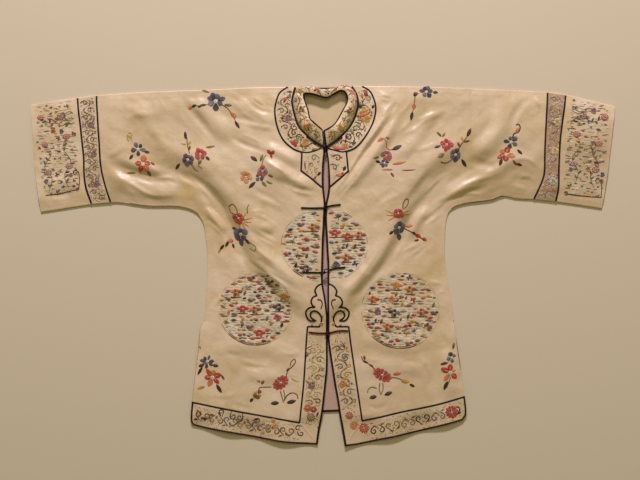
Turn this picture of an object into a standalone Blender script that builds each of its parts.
"""An embroidered silk jacket of the old Chinese cut, laid out flat with its front up.

X runs across the jacket, left to right as it is seen, and Y runs from the hem to the collar. Z is up.
The back lies on the surface at z = 0 and the two fronts lie on the back. Sizes are in millimetres.

Each half of the body is cut in one over the shoulder, so front and back are one wall that is folded
along the shoulder and sewn along the underarm and the side. The sleeves and cuffs are flattened tubes.
Every band and binding that lies on a front is made from the front's own triangles, moved out.
"""

import math
from collections import namedtuple

import bpy
import numpy as np
from mathutils.geometry import delaunay_2d_cdt

MM = 0.001

# Walls and gaps
CLOTH = 1.3
LINING = 1.0
BAND = 1.0
BINDING = 1.7
SEAM_GAP = 0.3
HALF_GAP = SEAM_GAP / 2
EDGE_GAP = 0.9
LAYER_GAP = 2.0
TURN_BULGE = 1.2
SIDE_SHRINK = 0.16

# Widths of what is sewn on
EDGE_BINDING_WIDTH = 3.4
LINE_BINDING_WIDTH = 3.0
COLLAR_HEIGHT = 32.0
COLLAR_RISE = 13.0
COLLAR_WALL = 1.5
COLLAR_BINDING_WIDTH = 2.2
# How far a line may pass the outline, and how near a crest may come to another line
LINE_MARGIN = 3.5
CREST_MARGIN = 8
FROG_WIDTH = 4.2
FROG_HEIGHT = 1.9
KNOT_RADIUS = 3.0

# Mesh spacing
FOLD_SPACING = 21.0
PLAIN_SPACING = 33.0
LINE_STEP = 20.0
CURVE_STEP = 11.0
SCROLL_STEP = 6.5
FOLD_STEP = 12.0
BACK_VENT_STEP = 40.0
BACK_HEM_STEP = 60.0
BACK_NECK_STEP = 14.0
CORD_STEP = 4.5
SHORTEST_STEP = 4
CENTRE_CLEARANCE = 6

# Relief of the front
PILLOW = 2.0
CHEST_RISE = 13.0
HEM_WAVE = 2.5
HEM_WAVE_LENGTH = 118.0

Point = namedtuple("Point", "x y")
Fold = namedtuple("Fold", "height reach path")


def points(*pairs):
    return [Point(*pair) for pair in pairs]


# The outline, from the neck out to the cuff along the shoulder fold
SHOULDER = {
    "l": points(
        (-58, 383), (-157, 381.5), (-242, 377), (-378, 372), (-486, 364.5), (-528, 359.5), (-626, 344),
    ),
    "r": points((61, 384.5), (209, 383.5), (338, 378.5), (482, 371.5), (522, 365.5), (626, 341)),
}
# From the cuff along the underarm seam and down the side seam to the top of the side vent
UNDERARM = {
    "l": points(
        (-605, 117), (-560, 124), (-498, 133.5), (-456, 137), (-432, 137), (-375, 129), (-311, 128),
        (-275, 117), (-257, 95), (-250, 60), (-247, 30), (-247, -23), (-252, -116),
    ),
    "r": points(
        (598, 125), (552, 132), (501, 139), (453, 144), (417, 146), (387, 151), (359, 142), (305, 135),
        (277, 124), (264, 103), (260, 56), (260, 13), (266, -34), (276, -88), (279, -116),
    ),
}
VENT = {
    "l": points(
        (-252, -116), (-262, -137), (-265, -172), (-272, -226), (-280, -290), (-283, -330),
        (-278, -341),
    ),
    "r": points((279, -116), (284, -159), (292, -210), (302, -270), (307, -314), (301, -328)),
}
HEM = {
    "l": points((-278, -341), (-252, -348), (-199, -357.5), (-132, -370), (-70, -379.5), (-12, -383)),
    "r": points(
        (301, -330), (253, -343), (210, -354), (167, -363.5), (124, -372.5), (81, -382), (47.5, -386),
    ),
}
FRONT_EDGE = {
    "l": points(
        (-12, -383), (-8.1, -354), (-4.9, -337), (0.5, -302), (6.1, -251), (9.3, -216), (9.4, -165),
        (9.4, -117), (8.8, -100), (4.8, -68), (0.7, -46), (-1, -25), (-0.3, 7), (0.5, 40), (1, 61),
        (2.6, 85), (3.2, 104), (4.5, 118), (4.9, 133), (3.4, 150), (0.8, 175), (0.8, 209), (2, 227),
        (3.8, 243), (3.6, 256),
    ),
    "r": points(
        (47.5, -386), (42.3, -354), (36, -319), (31, -285), (24.8, -251), (19.5, -216), (14.1, -182),
        (11.2, -155), (10.5, -117), (10.2, -68), (10.2, -25), (10.2, 7), (8.7, 30), (7.2, 61),
        (5.7, 85), (5, 104), (5.6, 118), (6.2, 134), (9.6, 149), (12.2, 170), (12, 192), (10.9, 211),
        (9.3, 230), (7, 245), (6.4, 256),
    ),
}
NECKLINE = {
    "l": points(
        (3.6, 256), (-15, 266.5), (-32, 279), (-51, 299), (-60, 326), (-65, 350), (-62, 369),
        (-58, 383),
    ),
    "r": points((6.4, 256), (29, 270.5), (54, 295), (68, 321), (74, 345), (71, 366), (61, 384.5)),
}
BACK_NECKLINE = points((-58, 383), (-40, 380), (2, 379.5), (45, 380.5), (61, 384.5))
BACK_CENTRE_TOP = Point(2, 379.5)
BACK_CENTRE_HEM = Point(6, -313)
BACK_VENT = {
    "l": points((-252, -116), (-266, -143), (-275, -190), (-279, -240), (-280, -318)),
    "r": points((279, -116), (280, -160), (286, -210), (292, -250), (296, -302)),
}
BACK_HEM = {
    "l": points((-280, -318), (-140, -321), (6, -313)),
    "r": points((296, -302), (150, -315), (6, -313)),
}
# Where the sleeve is joined to the body, and the cuff to the sleeve
SLEEVE_SEAM_X = {"l": -312.0, "r": 318.0}
CUFF_SEAM = {
    "l": points((-528, 359.5), (-521, 300), (-514, 232), (-511, 177), (-498, 133.5)),
    "r": points((522, 365.5), (510, 274), (507, 214), (506, 170), (501, 139)),
}
RIBBON_LINE = {
    "l": points((-486, 364.5), (-480, 273), (-476, 214), (-468, 178), (-456, 137)),
    "r": points((482, 371.5), (476, 262), (475, 211), (471, 186), (453, 144)),
}
CUFF_END = {
    "l": points((-626, 344), (-622, 290), (-616, 200), (-605, 117)),
    "r": points((626, 341), (618, 270), (611, 210), (598, 125)),
}
# Lines of black binding that lie on the fronts
NECK_BAND_LINE = {
    "l": points(
        (-75, 384), (-91, 373), (-98, 359), (-103, 334), (-99, 303), (-87, 273), (-67, 253), (-50, 245),
        (-35, 242.5), (-18, 246), (-4, 251.5),
    ),
    "r": points(
        (84, 385), (98, 377), (107, 363), (113, 338), (107, 307), (90, 276), (69, 253), (46, 244.5),
        (30, 246), (10, 251.5),
    ),
}
TAB_LINE = {
    "l": points((-45, 243), (-46.5, 204), (-24.5, 187), (-3, 169)),
    "r": points((50, 244.5), (54, 202.5), (36, 187), (13, 168)),
}
BORDER_LINE = {
    "l": points((-33, -130), (-36, -170), (-41, -249), (-50, -336)),
    "r": points((55, -130), (60, -170), (69, -232), (84, -332)),
}
HEM_BAND_LINE = {
    "l": points((-50, -336), (-113, -324.5), (-199, -308.5), (-281, -292)),
    "r": points((84, -332), (124, -323.5), (167, -313), (210, -304.5), (253, -295), (304, -280)),
}
# The cloud-head scroll at the top of the border: how far in from the front edge, and its height.
# Each row of the table is one bow between two cusps.
SCROLL_BOWS = (
    points((0, -37), (12, -43), (19, -53), (17, -63)),
    points((17, -63), (26, -67), (31, -76), (29, -84), (24, -88)),
    points((24, -88), (36, -89), (45, -98), (43, -110), (36, -117), (25, -117)),
    points(
        (25, -117), (34, -111), (36, -103), (30, -96), (21, -97), (14, -105), (12, -115), (17, -130),
    ),
    points((17, -130), (43, -130)),
)

# The folds of the fronts: height of the crest, reach to each side, and the line of the crest
FOLDS = (
    Fold(5.0, 28, points((-290, 366), (-243, 318), (-187, 267))),
    Fold(4.0, 20, points((-196, 361), (-144, 323), (-99, 305))),
    Fold(4.0, 18, points((-131, 264), (-82, 237), (-43, 213))),
    Fold(6.5, 24, points((-131, 228), (-75, 189), (-11, 163))),
    Fold(5.0, 20, points((-264, 122), (-234, 99), (-200, 69))),
    Fold(9.0, 28, points((-473, 215), (-432, 181), (-372, 161), (-297, 159))),
    Fold(3.5, 20, points((-454, 237), (-393, 211), (-329, 194))),
    Fold(5.0, 20, points((-144, 39), (-92, -4), (-37, -52))),
    Fold(3.0, 18, points((-166, 95), (-131, 82), (-92, 86))),
    Fold(2.5, 28, points((-239, -185), (-140, -172), (-45, -202))),
    Fold(2.0, 24, points((-178, -228), (-71, -241))),
    Fold(3.0, 22, points((-600, 172), (-560, 178), (-520, 186))),
    Fold(2.5, 28, points((-437, 318), (-372, 331), (-310, 322))),
    Fold(6.5, 20, points((170, 348), (131, 271), (80, 202), (28, 142))),
    Fold(4.5, 17, points((144, 357), (118, 301), (84, 245))),
    Fold(4.0, 22, points((252, 340), (200, 275), (148, 219))),
    Fold(5.0, 28, points((398, 348), (368, 280), (307, 224))),
    Fold(11.0, 28, points((462, 196), (415, 230), (359, 202), (299, 168), (247, 133))),
    Fold(2.5, 28, points((62, -133), (157, -172), (252, -142))),
    Fold(4.0, 18, points((92, 9), (71, -30), (43, -65))),
    Fold(2.0, 26, points((62, -228), (166, -215), (243, -228))),
    Fold(4.0, 18, points((226, 129), (200, 95), (183, 56))),
    Fold(4.0, 28, points((258, -170), (268, -230), (275, -288))),
)
# The two long folds that run from the underarms down to the waist bound the chest, which stands higher
CHEST = points(
    (-420, 420), (-390, 300), (-340, 232), (-264, 194), (-209, 127), (-176, 60), (-144, -9), (-92, -69),
    (0, -122), (54, -90), (114, -30), (153, 34), (174, 90), (204, 151), (252, 211), (305, 254),
    (380, 320), (420, 420),
)
CHEST_ROLL = (-18.0, 24.0)
CHEST_FADE_TOP = 345.0
CHEST_FADE_LENGTH = 150.0
# Both fronts lie flatter along the fastening, from the waist down
PLACKET_WIDTH = 62.0
PLACKET_TOP = 70.0

SIDES = {"l": -1.0, "r": 1.0}
IVORY_SILK = ((0.74, 0.63, 0.45, 1), 0.38)
BAND_SILK = ((0.66, 0.55, 0.38, 1), 0.5)
LINING_SILK = ((0.68, 0.52, 0.43, 1), 0.45)
BLACK_BINDING = ((0.03, 0.02, 0.02, 1), 0.5)
RED_CORD = ((0.16, 0.03, 0.03, 1), 0.5)


def clear_scene():
    for item in list(bpy.data.objects):
        bpy.data.objects.remove(item)


def ease(value):
    """0 below 0, 1 above 1, and a smooth rise between."""
    share = np.clip(value, 0.0, 1.0)
    return share * share * (3 - 2 * share)


def curve(knots, step):
    """A smooth line through the knots, with a point about every step, its ends kept."""
    knots = np.array(knots, float)
    if len(knots) == 2:
        count = max(1, round(float(np.linalg.norm(knots[1] - knots[0])) / step))
        share = np.linspace(0, 1, count + 1)[:, None]
        return knots[0] * (1 - share) + knots[1] * share
    padded = np.vstack([2 * knots[0] - knots[1], knots, 2 * knots[-1] - knots[-2]])
    fine = []
    for i in range(len(knots) - 1):
        a, b, c, d = padded[i : i + 4]
        linear, square, cube = c - a, 2 * a - 5 * b + 4 * c - d, 3 * b - a - 3 * c + d
        for t in np.linspace(0, 1, 16, endpoint=False):
            fine.append(0.5 * (2 * b + linear * t + square * t**2 + cube * t**3))
    fine = np.array([*fine, knots[-1]])
    along = np.concatenate([[0], np.cumsum(np.linalg.norm(np.diff(fine, axis=0), axis=1))])
    count = max(1, round(along[-1] / step))
    stops = np.linspace(0, along[-1], count + 1)
    return np.column_stack([np.interp(stops, along, fine[:, k]) for k in (0, 1)])


def joined(*lines):
    """Several lines end to end as one, without doubled points."""
    out = [np.array(lines[0][0], float)]
    for line in lines:
        for point in line:
            if np.linalg.norm(np.array(point, float) - out[-1]) > 1e-6:
                out.append(np.array(point, float))
    return np.array(out)


def side_normals(line):
    """Unit normals on the left of a line, at its points, longer at a corner to keep a strip's width."""
    steps = np.diff(line, axis=0)
    steps /= np.linalg.norm(steps, axis=1)[:, None]
    normals = np.column_stack([-steps[:, 1], steps[:, 0]])
    before = np.vstack([normals[:1], normals])
    after = np.vstack([normals, normals[-1:]])
    middle = before + after
    middle /= np.maximum(np.linalg.norm(middle, axis=1)[:, None], 1e-9)
    return middle / np.maximum((middle * after).sum(1), 0.6)[:, None]


def offset(line, distance):
    return line + side_normals(line) * distance


def nearest(places, line):
    """For each place: its distance to the line and the share of the line's length there."""
    best = np.full(len(places), 1e9)
    share = np.zeros(len(places))
    lengths = np.linalg.norm(np.diff(line, axis=0), axis=1)
    total, done = lengths.sum(), 0.0
    for a, b, length in zip(line[:-1], line[1:], lengths):
        step = b - a
        t = np.clip(((places - a) @ step) / (length * length), 0, 1)
        away = places - (a + t[:, None] * step)
        distance = np.linalg.norm(away, axis=1)
        closer = distance < best
        best = np.where(closer, distance, best)
        share = np.where(closer, (done + t * length) / total, share)
        done += length
    return best, share


def inside(places, polygon):
    """Which places lie in the polygon."""
    x, y = places[:, 0], places[:, 1]
    found = np.zeros(len(places), bool)
    for (x1, y1), (x2, y2) in zip(polygon, np.roll(polygon, -1, axis=0)):
        if y1 == y2:
            continue
        crosses = ((y1 > y) != (y2 > y)) & (x < (x2 - x1) * (y - y1) / (y2 - y1) + x1)
        found ^= crosses
    return found


def folded_edges():
    """The edges where the front layer turns or is sewn down to the back."""
    found = []
    for side in SIDES:
        found += [curve(SHOULDER[side], CURVE_STEP), curve(UNDERARM[side], CURVE_STEP)]
    return found


def back_hem_height(x):
    """Y of the back's hem at x."""
    line = sorted([*BACK_HEM["l"], *BACK_HEM["r"][:-1]])
    return np.interp(x, [p.x for p in line], [p.y for p in line])


def chest_rise(places):
    """How far the chest stands up between the two long folds."""
    polygon = np.array(CHEST, float)
    distance = nearest(places, np.vstack([polygon, polygon[:1]]))[0]
    depth = np.where(inside(places, polygon), distance, -distance)
    roll = ease((depth - CHEST_ROLL[0]) / (CHEST_ROLL[1] - CHEST_ROLL[0]))
    sink = 1 - 0.5 * ease((depth - 22) / 80)
    placket = 0.6 * np.exp(-((places[:, 0] / PLACKET_WIDTH) ** 2)) * ease((PLACKET_TOP - places[:, 1]) / 110)
    fade = ease((CHEST_FADE_TOP - places[:, 1]) / CHEST_FADE_LENGTH)
    return CHEST_RISE * roll * sink * fade * (1 - placket)


def underside(places):
    """Height of the front layer's underside over the surface that the jacket lies on."""
    places = np.asarray(places, float)
    edge = np.min([nearest(places, line)[0] for line in folded_edges()], axis=0)
    height = CLOTH + EDGE_GAP + (LAYER_GAP - EDGE_GAP) * ease(edge / 12)
    relief = PILLOW * ease(edge / 34) + chest_rise(places)
    for fold in FOLDS:
        away, share = nearest(places, curve(fold.path, FOLD_STEP))
        across = 0.5 + 0.5 * np.cos(math.pi * np.clip(away / fold.reach, 0, 1))
        relief += fold.height * across * ease(share / 0.3) * ease((1 - share) / 0.3)
    height += relief * ease(edge / 24)
    past_back = ease((back_hem_height(places[:, 0]) - places[:, 1]) / 30)
    wave = 1 + np.sin(2 * math.pi * places[:, 0] / HEM_WAVE_LENGTH)
    return height * (1 - past_back) + past_back * (0.4 + HEM_WAVE * wave)


def twice_area(a, b, c):
    """Twice the areas of triangles, above 0 where their corners go round to the left."""
    ab, ac = b - a, c - a
    return ab[:, 0] * ac[:, 1] - ab[:, 1] * ac[:, 0]


class Layer:
    """A flat triangle mesh of one cloth layer, with its outline and the lines drawn on it."""

    def __init__(self, outline, lines=(), lattice=None):
        outline = np.asarray(outline, float)
        corners, edges = [], []
        for line, is_closed in [(outline, True), *[(line, False) for line in lines]]:
            first = len(corners)
            corners += [tuple(p) for p in line]
            edges += [(first + i, first + i + 1) for i in range(len(line) - 1)]
            if is_closed:
                edges.append((first + len(line) - 1, first))
        if lattice is not None:
            corners += [tuple(p) for p in lattice]
        made = delaunay_2d_cdt(corners, edges, [], 0, 1e-4)
        self.xy = np.array([tuple(v) for v in made[0]])
        triangles = np.array([f for f in made[2]], int)
        middles = self.xy[triangles].mean(1)
        area = twice_area(*(self.xy[triangles[:, k]] for k in range(3)))
        triangles = np.where((area > 0)[:, None], triangles, triangles[:, ::-1])
        self.triangles = triangles[inside(middles, outline) & (np.abs(area) > 1e-3)]

    def middles(self):
        return self.xy[self.triangles].mean(1)

    def settle(self):
        """Heights of the underside at the points."""
        self.heights = underside(self.xy)

    def height_at(self, places):
        """Height of the underside at places, or of the nearest point for one off the panel."""
        a, b, c = (self.xy[self.triangles[:, k]] for k in range(3))
        turn = twice_area(a, b, c)
        found = []
        for place in places:
            u = twice_area(place[None], b, c) / turn
            v = twice_area(place[None], c, a) / turn
            hit = np.flatnonzero((u >= 0) & (v >= 0) & (u + v <= 1))
            if len(hit):
                k = hit[0]
                weights = np.array([u[k], v[k], 1 - u[k] - v[k]])
                found.append(float(weights @ self.heights[self.triangles[k]]))
            else:
                found.append(float(self.heights[np.argmin(np.linalg.norm(self.xy - place, axis=1))]))
        return np.array(found)

    def boundary(self):
        """The edges with a triangle on one side only, each with that triangle on its left."""
        return open_edges(self.triangles)


def open_edges(faces):
    used = {}
    for face in faces:
        for a, b in zip(face, np.roll(face, -1)):
            used[(int(a), int(b))] = True
    return [(a, b) for a, b in used if (b, a) not in used]


def lattice_points(outline, lines, spacing_at):
    """Points of a triangular lattice inside the outline, clear of every line."""
    outline = np.asarray(outline, float)
    low, high = outline.min(0), outline.max(0)
    kept = []
    for spacing in (FOLD_SPACING, PLAIN_SPACING):
        rows = int((high[1] - low[1]) / (spacing * 0.866)) + 2
        columns = int((high[0] - low[0]) / spacing) + 2
        grid = np.array(
            [
                (low[0] + (i + 0.5 * (j % 2)) * spacing, low[1] + j * spacing * 0.866)
                for j in range(rows)
                for i in range(columns)
            ]
        )
        grid = grid[inside(grid, outline) & (spacing_at(grid) == spacing)]
        if not len(grid):
            continue
        for line in [np.vstack([outline, outline[:1]]), *lines]:
            grid = grid[nearest(grid, line)[0] > 0.48 * spacing]
            if not len(grid):
                break
        kept += list(grid)
    return np.array(kept).reshape(-1, 2)


def spacing_at(places):
    """The folded upper part has closer points than the plain skirt."""
    return np.where(places[:, 1] > -135, FOLD_SPACING, PLAIN_SPACING)


class Sheet:
    """A cloth wall: each point has a place on the outer face and one on the inner face."""

    def __init__(self):
        self.outer, self.inner, self.faces = [], [], []

    def point(self, outer, inner):
        self.outer.append(tuple(outer))
        self.inner.append(tuple(inner))
        return len(self.outer) - 1

    def mesh(self):
        count = len(self.outer)
        faces = [tuple(f) for f in self.faces]
        faces += [tuple(count + i for i in reversed(f)) for f in self.faces]
        faces += [(b, a, count + a, count + b) for a, b in open_edges(self.faces)]
        return self.outer + self.inner, faces


def add_object(name, vertices, faces, look):
    """One closed solid as an object, in metres, with its own material."""
    mesh = bpy.data.meshes.new(name)
    mesh.from_pydata([tuple(MM * c for c in v) for v in vertices], [], faces)
    mesh.validate()
    mesh.update()
    mesh.shade_smooth()
    mesh.set_sharp_from_angle(angle=math.radians(50))
    item = bpy.data.objects.new(name, mesh)
    bpy.context.scene.collection.objects.link(item)
    colour, roughness = look
    material = bpy.data.materials.new(name)
    material.use_nodes = True
    shader = material.node_tree.nodes["Principled BSDF"]
    shader.inputs["Base Color"].default_value = colour
    shader.inputs["Roughness"].default_value = roughness
    shader.inputs["Metallic"].default_value = 0.0
    mesh.materials.append(material)
    return item


def folded_wall(name, front, back_open, folds, look):
    """Front layer and back layer as one wall, joined by a turn along each folded or sewn edge.

    back_open maps each end of a fold to the back's own line from there to the next fold.
    """
    sheet = Sheet()
    top = [sheet.point((x, y, z + CLOTH), (x, y, z)) for (x, y), z in zip(front.xy, front.heights)]
    used = set(front.triangles.ravel().tolist())
    sheet.faces += [tuple(top[i] for i in t) for t in front.triangles]
    turns = fold_runs(front, folds)
    outline, seams = [], []
    for run in turns:
        seams.append([(len(outline) + k, index) for k, index in enumerate(run)])
        outline += [front.xy[i] for i in run]
        outline += list(back_open[fold_key(front.xy[run[-1]], back_open)])
    back = Layer(outline)
    find = {tuple(np.round(p, 3)): i for i, p in enumerate(back.xy)}
    below = [sheet.point((x, y, 0.0), (x, y, CLOTH)) for x, y in back.xy]
    sheet.faces += [tuple(below[i] for i in reversed(t)) for t in back.triangles]
    for run in turns:
        line = front.xy[run]
        outward = -side_normals(line)
        middle = []
        for index, (x, y), (nx, ny) in zip(run, line, outward):
            half = (front.heights[index] + CLOTH) / 2
            bulge = min(half, CLOTH + TURN_BULGE)
            reach = bulge - CLOTH
            outer = (x + nx * bulge, y + ny * bulge, half)
            middle.append(sheet.point(outer, (x + nx * reach, y + ny * reach, half)))
        under = [below[find[tuple(np.round(p, 3))]] for p in line]
        for k in range(len(run) - 1):
            sheet.faces.append((top[run[k + 1]], top[run[k]], middle[k], middle[k + 1]))
            sheet.faces.append((middle[k + 1], middle[k], under[k], under[k + 1]))
    keep_used(sheet, used, top)
    vertices, faces = sheet.mesh()
    return add_object(name, vertices, faces, look)


def keep_used(sheet, used, top):
    """Drops the points of the front layer that no triangle uses."""
    unused = {top[i] for i in range(len(top)) if i not in used}
    kept = [i for i in range(len(sheet.outer)) if i not in unused]
    place = {old: new for new, old in enumerate(kept)}
    sheet.outer = [sheet.outer[i] for i in kept]
    sheet.inner = [sheet.inner[i] for i in kept]
    sheet.faces = [tuple(place[i] for i in f) for f in sheet.faces]


def fold_key(end, table):
    """The key of the table that lies at this end."""
    return min(table, key=lambda place: math.dist(place, end))


def fold_runs(front, folds):
    """The front's points along each folded edge, in the order of its outline."""
    following = {}
    for a, b in front.boundary():
        middle = (front.xy[a] + front.xy[b])[None, :] / 2
        if min(nearest(middle, line)[0][0] for line in folds) < 0.02:
            following[a] = b
    starts = [a for a in following if a not in following.values()]
    runs = []
    for start in starts:
        run = [start]
        while run[-1] in following:
            run.append(following[run[-1]])
        runs.append(run)
    centre = front.xy[front.triangles.ravel()].mean(0)
    return sorted(runs, key=lambda run: math.atan2(*(front.xy[run[0]] - centre)[::-1]))


def taken(front, chosen):
    """The largest connected patch among the chosen triangles.

    Its points are split where it meets itself only at a corner.
    """
    chosen = [tuple(int(i) for i in t) for t in front.triangles[chosen]]
    by_edge = {}
    for k, face in enumerate(chosen):
        for a, b in zip(face, face[1:] + face[:1]):
            by_edge.setdefault(frozenset((a, b)), []).append(k)
    group = list(range(len(chosen)))

    def root(k):
        while group[k] != k:
            group[k] = group[group[k]]
            k = group[k]
        return k

    for sharing in by_edge.values():
        for other in sharing[1:]:
            group[root(other)] = root(sharing[0])
    sizes = {}
    for k, face in enumerate(chosen):
        area = abs(twice_area(*(front.xy[[i]] for i in face))[0])
        sizes[root(k)] = sizes.get(root(k), 0.0) + area
    largest = max(sizes, key=sizes.get)
    patch = [face for k, face in enumerate(chosen) if root(k) == largest]
    return split_corners(patch)


def split_corners(patch):
    """(faces, source): faces with a new point for each fan at a point, and the old point of each."""
    fans = {}
    for k, face in enumerate(patch):
        for corner in face:
            fans.setdefault(corner, []).append(k)
    source, faces = [], [list(f) for f in patch]
    for corner, members in fans.items():
        left = set(members)
        while left:
            fan, edge_of_fan = [], [left.pop()]
            while edge_of_fan:
                k = edge_of_fan.pop()
                fan.append(k)
                rim = set(patch[k]) - {corner}
                for other in list(left):
                    if rim & (set(patch[other]) - {corner}):
                        left.remove(other)
                        edge_of_fan.append(other)
            for k in fan:
                faces[k][patch[k].index(corner)] = -1 - len(source)
            source.append(corner)
    return [tuple(-1 - i for i in f) for f in faces], source


def applied(name, front, chosen, thickness, look):
    """A band or binding on a front: the chosen triangles, moved out, drawn in a little at the sides."""
    faces, source = taken(front, chosen)
    place = front.xy[source].copy()
    sideways = np.zeros_like(place)
    for a, b in open_edges(faces):
        step = place[b] - place[a]
        inward = np.array([-step[1], step[0]]) / np.linalg.norm(step)
        sideways[a] += inward
        sideways[b] += inward
    length = np.linalg.norm(sideways, axis=1)
    turned = length > 1e-6
    sideways[turned] *= (SIDE_SHRINK * 2 / np.maximum(length[turned] ** 2, 0.8))[:, None]
    place += sideways
    foot = front.heights[source] + CLOTH + SEAM_GAP
    sheet = Sheet()
    for (x, y), z in zip(place, foot):
        sheet.point((x, y, z + thickness), (x, y, z))
    sheet.faces = faces
    return add_object(name, *sheet.mesh(), look)


def strip(line, width, shift=0.0):
    """(polygon, side lines) of a strip along a line, moved to its left by shift."""
    left = offset(line, shift + width / 2)
    right = offset(line, shift - width / 2)
    return np.vstack([left, right[::-1]]), [left, right]


def edge_strip(line, width, inward):
    """A strip along an edge of the panel: only its inner side is drawn on the panel."""
    inner = offset(line, inward * width)
    outer = offset(line, -inward * width)
    return np.vstack([inner, outer[::-1]]), [inner]


def stretched(line, length=3.0):
    """The line made a little longer at both ends, so that it crosses what it runs up to."""
    first = line[0] + (line[0] - line[1]) / np.linalg.norm(line[0] - line[1]) * length
    last = line[-1] + (line[-1] - line[-2]) / np.linalg.norm(line[-1] - line[-2]) * length
    return np.vstack([[first], line, [last]])


def stretches(line, keep):
    """The parts of a line whose points are kept, each of two points or more."""
    found, run = [], []
    for point, is_kept in zip([*line, None], [*keep, False]):
        if is_kept:
            run.append(point)
            continue
        if len(run) > 1:
            found.append(np.array(run))
        run = []
    return found


def clipped(lines, outline):
    """The stretches of the lines that lie near or inside the outline, so that none is drawn outside."""
    kept = []
    ring = np.vstack([outline, outline[:1]])
    for line in lines:
        kept += stretches(line, inside(line, outline) | (nearest(line, ring)[0] < LINE_MARGIN))
    return kept


def crest_lines(outline, lines):
    """Lines along the crests of the larger folds and the roll of the chest, clear of the other lines."""
    chest = curve(CHEST[1:-1], FOLD_SPACING)
    wanted = [offset(chest, CHEST_ROLL[0]), offset(chest, CHEST_ROLL[1])]
    wanted += [curve(fold.path, FOLD_SPACING)[1:-1] for fold in FOLDS if fold.height >= 4]
    kept, drawn = [], [np.vstack([outline, outline[:1]]), *lines]
    for line in wanted:
        clear = inside(line, outline)
        for other in drawn:
            clear &= nearest(line, other)[0] > CREST_MARGIN
        found = stretches(line, clear)
        kept += found
        drawn += found
    return kept


def scroll_line(side):
    """The line round the cloud-head scroll, measured in from the front edge."""
    edge = np.array(sorted(FRONT_EDGE[side], key=lambda p: p.y), float)
    bows = []
    for bow in SCROLL_BOWS:
        placed = [(np.interp(y, edge[:, 1], edge[:, 0]) + SIDES[side] * inward, y) for inward, y in bow]
        bows.append(curve(placed, SCROLL_STEP))
    return joined(*bows)


def body_half(side):
    """One half of the body with its bands and bindings."""
    sign = SIDES[side]
    seam_x = SLEEVE_SEAM_X[side]
    shoulder = curve(SHOULDER[side], LINE_STEP)
    underarm = curve(UNDERARM[side], CURVE_STEP + 4)
    shoulder = cut_at(shoulder, seam_x - HALF_GAP * sign, keep_start=True)
    underarm = cut_at(underarm, seam_x - HALF_GAP * sign, keep_start=False)
    vent = curve(VENT[side], LINE_STEP)
    hem = curve(HEM[side], LINE_STEP)
    edge = curve(FRONT_EDGE[side], LINE_STEP)
    neckline = curve(NECKLINE[side], CURVE_STEP)
    seam = curve([shoulder[-1], underarm[0]], LINE_STEP)
    outline = joined(shoulder, seam, underarm, vent, hem, edge, neckline)[:-1]
    if sign > 0:
        outline = outline[::-1]

    scroll = scroll_line(side)
    border = curve(BORDER_LINE[side], LINE_STEP)
    hem_band = curve(HEM_BAND_LINE[side], LINE_STEP)
    neck_band = curve(NECK_BAND_LINE[side], CURVE_STEP)
    tab = joined(*[curve(TAB_LINE[side][i : i + 2], LINE_STEP) for i in range(3)])
    border_line = joined(scroll[:-1], border, hem_band)
    corner = np.array([hem[-1], hem_band[0]])
    band_end = vent[vent[:, 1] < hem_band[-1][1]]

    strips = {
        "binding_front_edge": edge_strip(stretched(edge), EDGE_BINDING_WIDTH, -sign),
        "binding_hem": edge_strip(stretched(joined(band_end, hem)), EDGE_BINDING_WIDTH, -sign),
        "binding_neckline": edge_strip(stretched(neckline), EDGE_BINDING_WIDTH, -sign),
        "binding_border": strip(stretched(border_line), LINE_BINDING_WIDTH),
        "binding_neck_band": strip(stretched(neck_band), LINE_BINDING_WIDTH),
        "binding_tab": strip(stretched(tab), LINE_BINDING_WIDTH),
    }
    lines = [line for _, drawn in strips.values() for line in drawn] + [stretched(corner, 0.5)]
    lines = clipped(lines, outline)
    lines += crest_lines(outline, lines)
    front = Layer(outline, lines, lattice_points(outline, lines, spacing_at))
    front.settle()

    back_edge = list(curve(BACK_VENT[side], BACK_VENT_STEP)[1:-1])
    back_hem = list(curve(BACK_HEM[side], BACK_HEM_STEP)[:-1])
    gap = np.array([HALF_GAP * sign, 0.0])
    back_neck = curve(BACK_NECKLINE, BACK_NECK_STEP)
    half_neck = [p for p in back_neck if sign * (p[0] - BACK_CENTRE_TOP.x) > CENTRE_CLEARANCE]
    if sign < 0:
        half_neck = half_neck[::-1]
    centre = [np.array(BACK_CENTRE_HEM) + gap, np.array(BACK_CENTRE_TOP) + gap]
    to_neck = [*back_edge, *back_hem, *centre, *half_neck[:-1]]
    if sign < 0:
        back_open = {tuple(underarm[-1]): to_neck, tuple(shoulder[-1]): []}
    else:
        back_open = {tuple(shoulder[0]): to_neck[::-1], tuple(underarm[0]): []}
    folded_wall(f"body_{side}", front, back_open, [shoulder, underarm], IVORY_SILK)

    bands = {
        "neck_band": np.vstack([neck_band, neckline]),
        "chest_tab": np.vstack([tab, [edge[-1]], [neck_band[-1]], [(tab[0][0], 250)]]),
        "front_border": np.vstack([scroll[:-1], border, [corner[0]], edge]),
        "hem_band": np.vstack([hem_band, band_end, hem]),
    }
    sew_on(front, side, strips, bands)
    return front


def sew_on(front, side, strips, bands):
    """The bindings and then the bands that lie on a front, each from the triangles still free."""
    middles = front.middles()
    free = np.ones(len(middles), bool)
    rows = [(name, polygon, BINDING, BLACK_BINDING) for name, (polygon, _) in strips.items()]
    rows += [(name, polygon, BAND, BAND_SILK) for name, polygon in bands.items()]
    for name, polygon, thickness, look in rows:
        chosen = inside(middles, polygon) & free
        free &= ~chosen
        applied(f"{name}_{side}", front, chosen, thickness, look)


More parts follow.
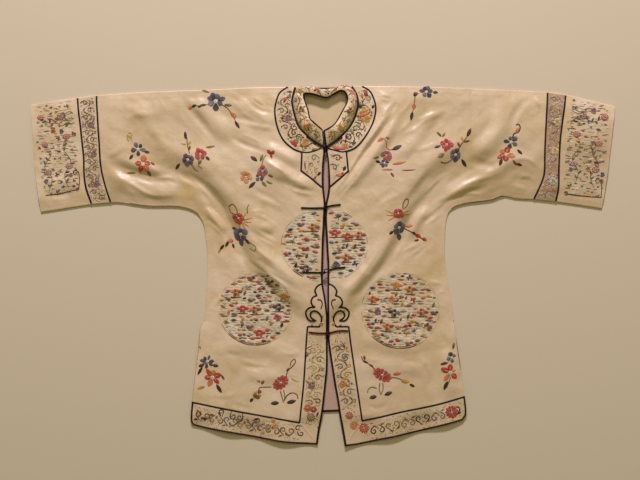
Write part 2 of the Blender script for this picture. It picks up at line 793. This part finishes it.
def cut_at(line, x, keep_start):
    """The part of a line on one side of x, ended exactly there."""
    crossing = next(i for i in range(len(line) - 1) if (line[i][0] - x) * (line[i + 1][0] - x) <= 0)
    a, b = line[crossing], line[crossing + 1]
    point = a + (b - a) * (x - a[0]) / (b[0] - a[0])
    part = [*line[: crossing + 1], point] if keep_start else [point, *line[crossing + 1 :]]
    part = np.array(part)
    gaps = np.linalg.norm(np.diff(part, axis=0), axis=1)
    keep = np.ones(len(part), bool)
    if keep_start and gaps[-1] < SHORTEST_STEP:
        keep[-2] = False
    if not keep_start and gaps[0] < SHORTEST_STEP:
        keep[1] = False
    return part[keep]


def between(line, first, last):
    """The part of a line between its points nearest to first and last, with those exact ends."""
    start = int(np.argmin(np.linalg.norm(line - first, axis=1)))
    end = int(np.argmin(np.linalg.norm(line - last, axis=1)))
    part = line[min(start, end) : max(start, end) + 1].copy()
    if start > end:
        part = part[::-1]
    part[0], part[-1] = first, last
    return part


def tube(name, side, shoulder, outer_end, underarm, inner_end, strips, bands):
    """A flattened tube of a sleeve or cuff, with what lies on its front."""
    sign = SIDES[side]
    outline = joined(shoulder, outer_end, underarm, inner_end)[:-1]
    if sign > 0:
        outline = outline[::-1]
    lines = clipped([line for _, drawn in strips.values() for line in drawn], outline)
    lines += crest_lines(outline, lines)
    front = Layer(outline, lines, lattice_points(outline, lines, spacing_at))
    front.settle()
    back_open = {tuple(line[end]): [] for line in (shoulder, underarm) for end in (0, -1)}
    folded_wall(name, front, back_open, [shoulder, underarm], IVORY_SILK)
    sew_on(front, side, strips, bands)


def sleeve(side):
    """The sleeve from its seam on the upper arm to the cuff, and the cuff."""
    sign = SIDES[side]
    seam_x = SLEEVE_SEAM_X[side] + HALF_GAP * sign
    shoulder = cut_at(curve(SHOULDER[side], LINE_STEP), seam_x, keep_start=False)
    underarm = cut_at(curve(UNDERARM[side], CURVE_STEP + 4), seam_x, keep_start=True)
    cuff_seam = curve(CUFF_SEAM[side], LINE_STEP)
    top, bottom = cuff_seam[0], cuff_seam[-1]
    upper = between(shoulder, shoulder[0], top)
    lower = between(underarm, bottom, underarm[-1])
    ribbon_line = curve(RIBBON_LINE[side], LINE_STEP)
    strips = {
        "binding_cuff_line": edge_strip(stretched(cuff_seam), EDGE_BINDING_WIDTH, -sign),
        "binding_sleeve_line": strip(stretched(ribbon_line), LINE_BINDING_WIDTH),
    }
    bands = {"sleeve_ribbon": np.vstack([ribbon_line, cuff_seam[::-1]])}
    inner_end = curve([lower[-1], upper[0]], LINE_STEP)
    tube(f"sleeve_{side}", side, upper, cuff_seam, lower, inner_end, strips, bands)
    gap = np.array([SEAM_GAP * sign, 0])
    cuff_top = between(shoulder, top, shoulder[-1]) + gap
    cuff_bottom = between(underarm, underarm[0], bottom) + gap
    cuff_end = curve(CUFF_END[side], LINE_STEP) + gap
    tube(f"cuff_{side}", side, cuff_top, cuff_end, cuff_bottom, cuff_seam[::-1] + gap, {}, {})


def lining():
    """The part of the back's lining that shows at the neck and between the fronts."""
    neck = curve(points((-52, 379), (-38, 378), (2, 377.4), (43, 378.4), (54, 380)), 16.0)
    outline = joined(
        neck, points(
            (78, 360), (84, 250), (84, -306), (6, -309), (-74, -309), (-74, 250), (-70, 360),
            (-52, 379),
        )
    )[:-1][::-1]
    layer = Layer(outline)
    foot = CLOTH + SEAM_GAP
    sheet = Sheet()
    for x, y in layer.xy:
        sheet.point((x, y, foot + LINING), (x, y, foot))
    sheet.faces = [tuple(t) for t in layer.triangles]
    add_object("lining_back", *sheet.mesh(), LINING_SILK)


COLLAR_FOOT = points(
    (3.2, 257.6), (-15, 267.5), (-31.5, 280), (-50, 300), (-59.3, 326), (-64, 350), (-60, 368),
    (-50, 376.5), (-30, 377.5), (2, 377), (35, 378), (54, 379), (67, 371), (73, 347), (67, 322),
    (53, 296), (28.5, 271.5), (6, 257.6),
)
COLLAR_TOP = points(
    (0.2, 288), (-10, 296), (-22, 306.5), (-29, 314), (-33, 332), (-39, 350), (-42, 362), (-38.5, 369),
    (-22, 368), (6, 360.5), (20, 366), (37, 375), (49, 370), (53, 352), (43, 331), (32, 311),
    (21, 297.5), (2.6, 287),
)
COLLAR_STATIONS = 46
COLLAR_ROWS = 4


def smooth_at(values, share):
    """Values of a smooth line through the given ones, at fractional places along them."""
    values = np.array(values, float)
    padded = np.concatenate([[2 * values[0] - values[1]], values, [2 * values[-1] - values[-2]]])
    index = np.minimum(share.astype(int), len(values) - 2)
    t = share - index
    a, b, c, d = (padded[index + k] for k in range(4))
    linear, square, cube = c - a, 2 * a - 5 * b + 4 * c - d, 3 * b - a - 3 * c + d
    return 0.5 * (2 * b + linear * t + square * t**2 + cube * t**3)


def loft(name, rings, look):
    """A closed solid through rings of equal length, capped at both ends."""
    count = len(rings[0])
    vertices = [tuple(p) for ring in rings for p in ring]
    faces = []
    for r in range(len(rings) - 1):
        for k in range(count):
            following = (k + 1) % count
            low, high = r * count, (r + 1) * count
            faces.append((low + k, low + following, high + following, high + k))
    faces.append(tuple(reversed(range(count))))
    faces.append(tuple((len(rings) - 1) * count + k for k in range(count)))
    return add_object(name, vertices, faces, look)


def collar_lines(fronts):
    """Foot line and top line of the stand collar, with heights, in matching stations."""
    share = np.linspace(0, len(COLLAR_FOOT) - 1, COLLAR_STATIONS)
    foot = np.column_stack([smooth_at([p[k] for p in COLLAR_FOOT], share) for k in (0, 1)])
    top = np.column_stack([smooth_at([p[k] for p in COLLAR_TOP], share) for k in (0, 1)])
    on_lining = CLOTH + SEAM_GAP + LINING + SEAM_GAP + 0.2
    foot_z = np.full(len(foot), on_lining)
    for side, sign in SIDES.items():
        seam = offset(curve(NECKLINE[side], 0.5), sign * (SEAM_GAP + 0.2))
        mine = (foot[:, 1] < 367) & (sign * (foot[:, 0] - 4.5) > 0)
        for k in np.flatnonzero(mine):
            foot[k] = seam[np.argmin(np.linalg.norm(seam - foot[k], axis=1))]
        beside = fronts[side].height_at(foot[mine]) + 0.5 * CLOTH
        foot_z[mine] = np.maximum(on_lining, beside * ease((374 - foot[mine, 1]) / 10))
    width = np.linalg.norm(top - foot, axis=1)
    rise = np.minimum(np.sqrt(np.maximum(COLLAR_HEIGHT**2 - width**2, 49.0)), COLLAR_RISE)
    return np.column_stack([foot, foot_z]), np.column_stack([top, foot_z + rise]), on_lining


def stand_collar(fronts):
    """The stand collar, leaning in over the neck and curled at the back, and its top edge's binding."""
    foot, top, floor = collar_lines(fronts)
    walls, bindings = [], []
    along = np.gradient(foot, axis=0)
    t = np.linspace(0, 1, COLLAR_ROWS)
    for k in range(len(foot)):
        chord = top[k] - foot[k]
        length = np.linalg.norm(chord)
        up = chord / length
        out = np.cross(up, along[k])
        out /= np.linalg.norm(out)
        bow = max(1.2, 0.45 * math.sqrt(max(COLLAR_HEIGHT**2 - length**2, 0)))
        outer = [foot[k] + up * length * s + out * 4 * bow * s * (1 - s) for s in t]
        inner = []
        for point, s in zip(outer, t):
            lift, slope = length, 4 * bow * (1 - 2 * s)
            normal = (out * lift - up * slope) / math.hypot(lift, slope)
            inner.append(point - normal * COLLAR_WALL)
        for point in inner:
            point[2] = max(point[2], floor)
        walls.append(outer + inner[::-1])
        slope = -4 * bow
        tip = (up * length + out * slope) / math.hypot(length, slope)
        face = (out * length - up * slope) / math.hypot(length, slope)
        middle = outer[-1] - face * COLLAR_WALL / 2 + tip * 2 * SEAM_GAP
        half = face * COLLAR_BINDING_WIDTH / 2
        reach = tip * COLLAR_BINDING_WIDTH
        bindings.append([middle + half, middle + reach + half, middle + reach - half, middle - half])
    loft("stand_collar", walls, BAND_SILK)
    loft("binding_collar_edge", bindings, BLACK_BINDING)


def back_neck_binding():
    """The binding round the back's neckline, seated against its edge."""
    knots = points((-49, 381.4), (-38, 380), (2, 379.5), (45, 380.5), (51, 381.8))
    line = offset(curve(knots, 12.0), 0.35)
    normals = side_normals(line)
    rings = []
    for (x, y), (nx, ny) in zip(line, normals):
        inner, outer = (x, y), (x + 3.0 * nx, y + 3.0 * ny)
        rings.append([(*inner, 0.2), (*outer, 0.6), (*outer, 3.0), (*inner, 3.2)])
    loft("binding_back_neck", rings, BLACK_BINDING)


Frog = namedtuple("Frog", "name lies_on look left right")
FROGS = (
    Frog(
        "neck", BINDING, BLACK_BINDING,
        points((-34, 277), (-16.6, 264.3), (-5, 256.6), (3, 252.4)),
        points((40, 275.5), (30.6, 268.3), (18, 260.4), (10, 255)),
    ),
    Frog(
        "chest", 0.0, BLACK_BINDING,
        points((-45, 124), (-22, 123.5), (2.5, 124)),
        points((36, 131), (20, 129), (9, 126.5)),
    ),
    Frog(
        "waist", 0.0, BLACK_BINDING,
        points((-42, -14), (-20, -14), (3, -14)),
        points((46, -3), (28, -5), (10.5, -9)),
    ),
    Frog(
        "hip", BAND, RED_CORD,
        points((-29, -142), (-10, -144), (7, -144)),
        points((52, -139), (34, -139), (15, -143)),
    ),
)


def resting_level(frog, side, places, fronts):
    """Height of what a frog lies on: the front or its band, or a binding that the frog crosses."""
    front = fronts[side].height_at(places) + CLOTH
    plain = front + SEAM_GAP + frog.lies_on if frog.lies_on else front
    edge = curve(FRONT_EDGE[side], CURVE_STEP)
    bound = nearest(places, edge)[0] < EDGE_BINDING_WIDTH + 1.5
    bound |= nearest(places, curve(BORDER_LINE[side], CURVE_STEP))[0] < LINE_BINDING_WIDTH
    return np.where(bound, front + SEAM_GAP + BINDING, plain)


def frog_half(frog, side, path, fronts):
    """A flat strap of doubled cord. The left one ends in a ball knot, which the right one meets."""
    line = curve(path, CORD_STEP)
    normals = side_normals(line)
    reach = FROG_WIDTH / 2 + 0.4
    rows = [line + normals * across for across in (-reach, 0, reach)]
    level = np.max([resting_level(frog, side, row, fronts) for row in rows], axis=0)
    padded = np.pad(level, 1, mode="edge")
    level = np.max([padded[:-2], padded[1:-1], padded[2:]], axis=0) + SEAM_GAP + 0.1
    stations = [[*p, z + FROG_HEIGHT / 2, FROG_WIDTH / 2, FROG_HEIGHT / 2] for p, z in zip(line, level)]
    stations[0][3] *= 0.6
    stations[0][4] *= 0.7
    if side == "l":
        forward = line[-1] - line[-2]
        forward /= np.linalg.norm(forward)
        stations = [s for s in stations if math.dist(s[:2], line[-1]) > KNOT_RADIUS + 0.8]
        for t in (-0.85, -0.35, 0.35, 0.85):
            radius = KNOT_RADIUS * math.sqrt(1 - t * t)
            stations.append([*(line[-1] + forward * t * KNOT_RADIUS), level[-1] + KNOT_RADIUS, radius, radius])
    middles = np.array([s[:2] for s in stations])
    rings = []
    for (x, y, z, half_width, half_height), (nx, ny) in zip(stations, side_normals(middles)):
        ring = []
        for k in range(8):
            across = half_width * math.cos(k * math.tau / 8)
            ring.append((x + nx * across, y + ny * across, z + half_height * math.sin(k * math.tau / 8)))
        rings.append(ring)
    loft(f"frog_{frog.name}_{side}", rings, frog.look)


def main():
    clear_scene()
    fronts = {}
    for side in SIDES:
        fronts[side] = body_half(side)
        sleeve(side)
    lining()
    stand_collar(fronts)
    back_neck_binding()
    for frog in FROGS:
        frog_half(frog, "l", frog.left, fronts)
        frog_half(frog, "r", frog.right, fronts)


main()
